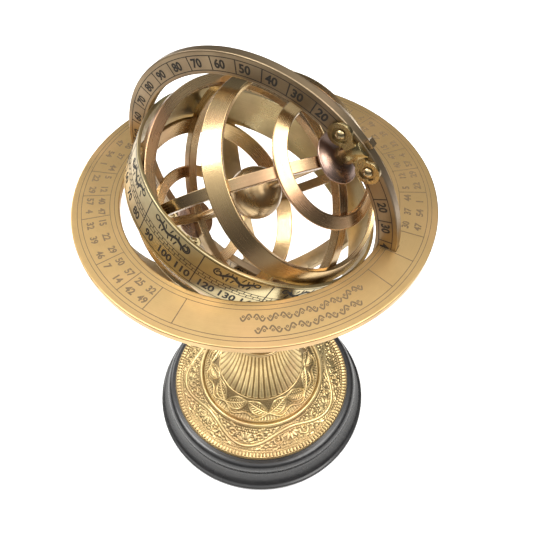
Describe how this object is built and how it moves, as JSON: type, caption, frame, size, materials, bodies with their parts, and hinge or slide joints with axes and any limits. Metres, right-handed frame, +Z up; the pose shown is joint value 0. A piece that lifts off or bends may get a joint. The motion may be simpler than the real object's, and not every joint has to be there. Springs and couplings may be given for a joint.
{
  "type": "armillary sphere",
  "caption": "Brass desk armillary sphere: ring globe turning on a tilting meridian ring, held by a horizon ring on a domed pedestal and wooden base.",
  "frame": {"origin": "centre of the underside of the base, on the surface it stands on", "axes": "+Z up, through the middle of the pedestal; the meridian ring lies in the XZ plane and the north pole leans towards +X"},
  "size_m": [0.14, 0.14, 0.234],
  "materials": {
    "felt": "dark green felt",
    "black_wood": "black satin lacquer",
    "steel": "zinc plated",
    "embossed_brass": "bright embossed sheet brass",
    "polished_brass": "polished, lightly lacquered",
    "aged_brass": "aged, satin",
    "engraved_brass": "satin with black-filled engraving",
    "dark_bronze": "dark purple-brown bronze, polished"
  },
  "bodies": {
    "stand": {"base_felt": "felt", "wooden_base": "black_wood", "base_nut": "steel", "base_washer": "steel", "pedestal": "embossed_brass", "neck_collar": "polished_brass", "stem": "polished_brass", "tie_rod": "steel", "cradle_hub": "aged_brass", "hub_screws": "polished_brass", "horizon_screws": "polished_brass", "horizon_ring": "engraved_brass", "cradle_arm_1": "aged_brass", "cradle_arm_2": "aged_brass", "cradle_arm_3": "aged_brass", "cradle_arm_4": "aged_brass"},
    "meridian": {"meridian_ring": "engraved_brass", "north_front_strap": "aged_brass", "north_back_strap": "aged_brass", "south_front_strap": "aged_brass", "south_back_strap": "aged_brass", "north_strap_rivets": "polished_brass", "south_strap_rivets": "polished_brass"},
    "sphere": {"polar_axis": "aged_brass", "earth_ball": "dark_bronze", "north_pole_cap": "dark_bronze", "south_pole_cap": "dark_bronze", "north_pole_nut": "polished_brass", "south_pole_nut": "polished_brass", "solstitial_colure": "aged_brass", "equinoctial_colure": "aged_brass", "equator_ring": "aged_brass", "tropic_of_cancer": "polished_brass", "tropic_of_capricorn": "polished_brass", "arctic_circle": "polished_brass", "antarctic_circle": "polished_brass", "zodiac_band": "engraved_brass", "zodiac_spacers": "aged_brass"}
  },
  "joints": [
    {"name": "meridian_tilt", "type": "hinge", "parent": "stand", "child": "meridian", "pos_m": [0, 0, 0.175], "axis": [0, 1, 0], "range_deg": [-18, 30]},
    {"name": "sphere_spin", "type": "hinge", "parent": "meridian", "child": "sphere", "pos_m": [0, 0, 0.175], "axis": [0.7071, 0, 0.7071], "continuous": true}
  ]
}
